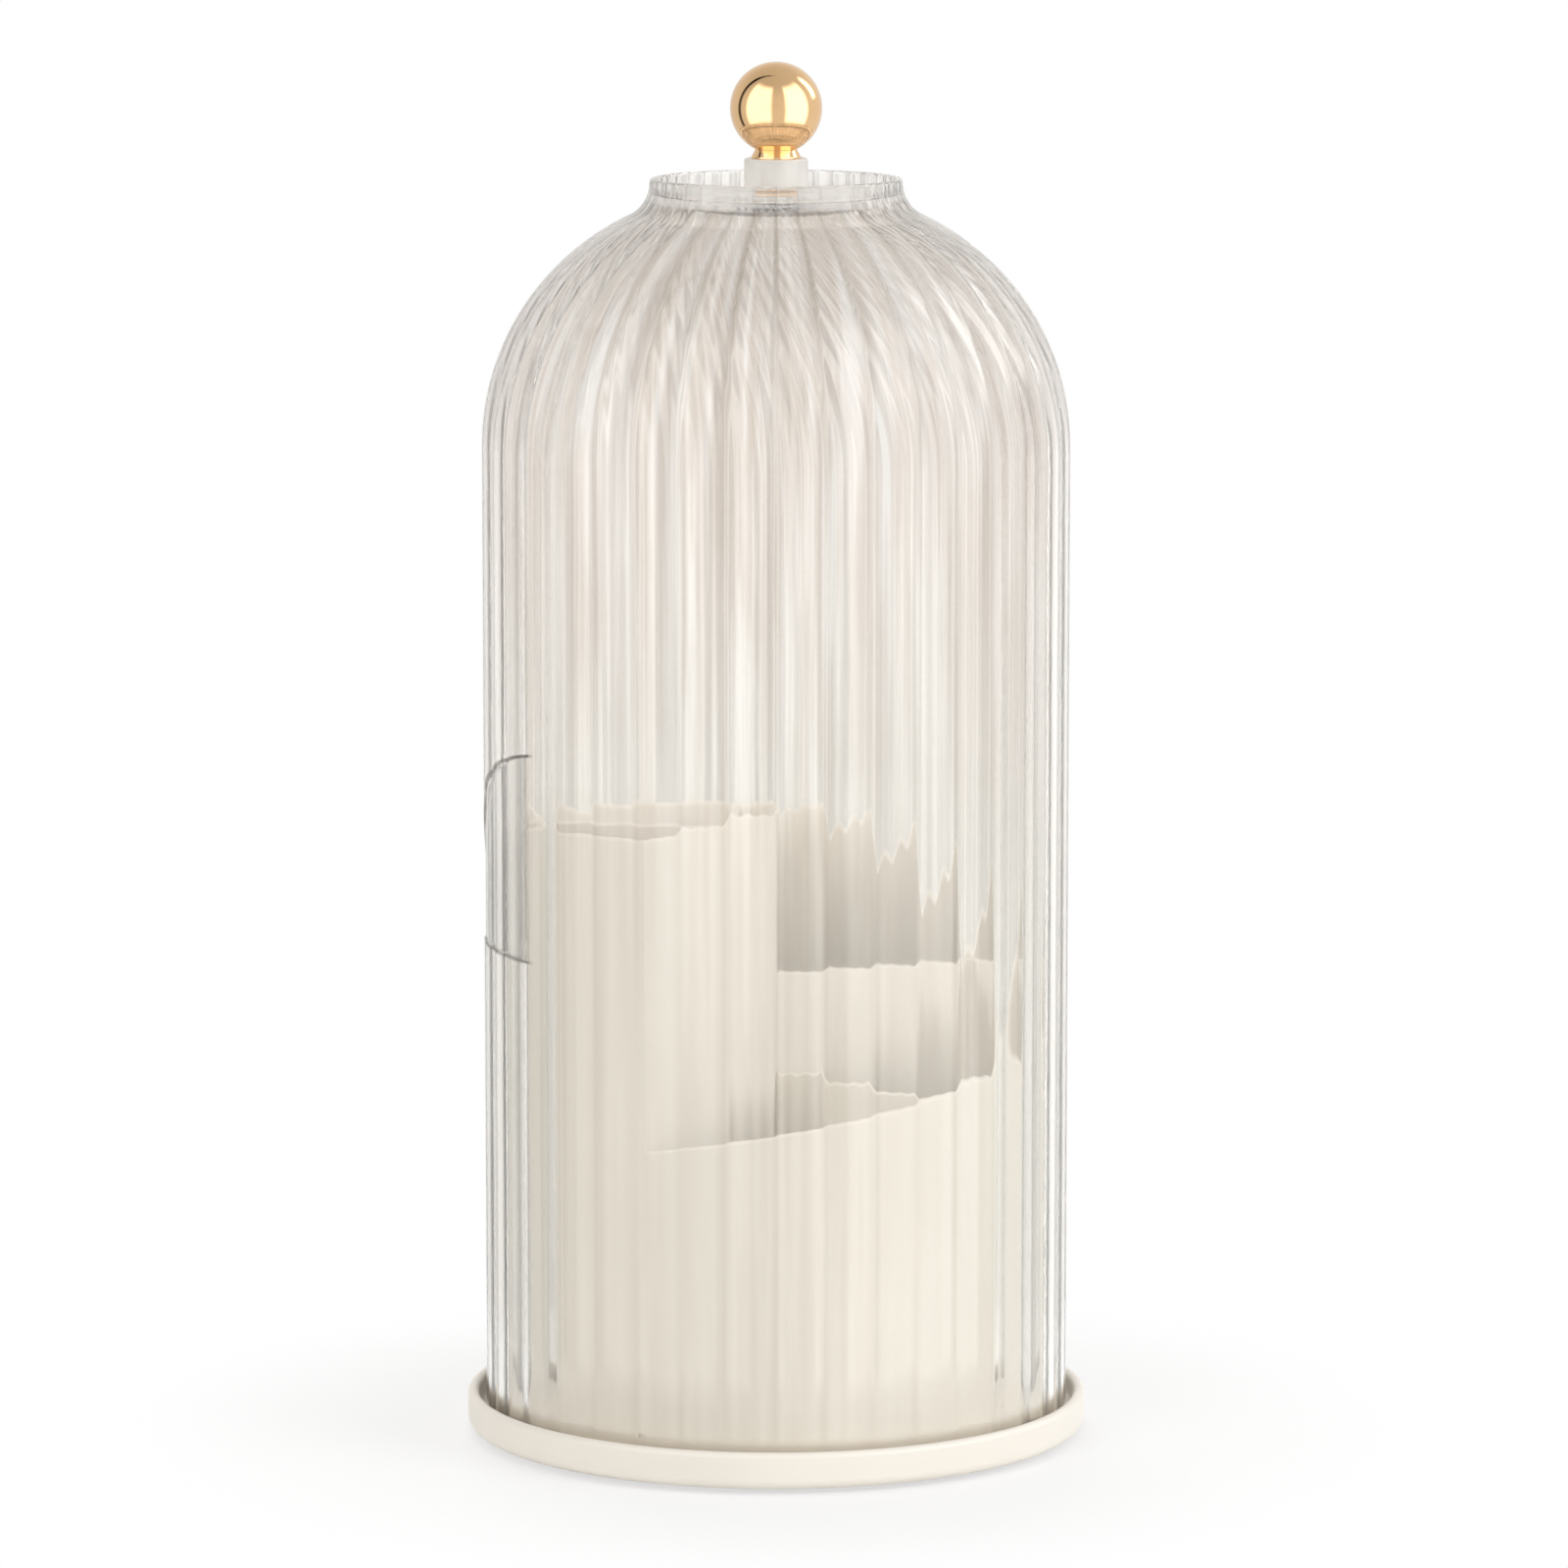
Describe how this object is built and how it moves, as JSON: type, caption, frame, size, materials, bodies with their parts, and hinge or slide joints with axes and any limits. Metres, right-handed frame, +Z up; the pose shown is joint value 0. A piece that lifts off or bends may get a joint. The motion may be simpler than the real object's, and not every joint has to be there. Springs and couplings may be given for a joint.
{
  "type": "makeup organizer",
  "caption": "Turning bell-shaped makeup organizer with a spiral-rimmed divided holder, a clear fluted shell that slides open round it and a ball knob",
  "frame": {"origin": "on the table at the turning axis, at the middle of the object's bounding box", "axes": "+Z up along the turning axis, -Y towards the viewer of the picture, +X to their right"},
  "size_m": [0.15, 0.15, 0.3314],
  "materials": {
    "cream_plastic": "smooth cream moulding with a soft gloss",
    "clear_plastic": "clear polished moulding, fluted outside",
    "frosted_plastic": "slightly milky clear moulding",
    "gold": "polished gold plating",
    "steel": "zinc plated",
    "bearing_steel": "polished",
    "pad_rubber": "matt",
    "nylon": "natural, matt"
  },
  "bodies": {
    "foot": {"foot_plate": "steel", "foot_pads": "pad_rubber"},
    "ball_ring": {"ball_cage": "nylon", "bearing_balls": "bearing_steel"},
    "turntable": {"tray": "cream_plastic", "pivot_washer": "steel", "pivot_screw": "steel", "holder": "cream_plastic", "holder_screws": "steel", "rear_shell": "clear_plastic", "pivot_bush": "nylon", "slip_washer": "nylon"},
    "door": {"front_shell": "clear_plastic", "knob_spacer": "gold", "knob_collar": "frosted_plastic", "knob": "gold", "knob_stud": "steel", "stud_washer": "steel", "spring_washer": "steel", "stud_nut": "steel"}
  },
  "joints": [
    {"name": "turntable_spin", "type": "hinge", "parent": "foot", "child": "turntable", "pos_m": [0, 0, 0.0038], "axis": [0, 0, 1], "continuous": true},
    {"name": "ball_ring_spin", "type": "hinge", "parent": "foot", "child": "ball_ring", "pos_m": [0, 0, 0.0049], "axis": [0, 0, 1], "continuous": true},
    {"name": "door_slide", "type": "hinge", "parent": "turntable", "child": "door", "pos_m": [0, 0, 0.2973], "axis": [0, 0, 1], "range_deg": [0, 180]}
  ],
  "couplings": [
    {"joint": "ball_ring_spin", "follows": "turntable_spin", "ratio": 0.5}
  ]
}
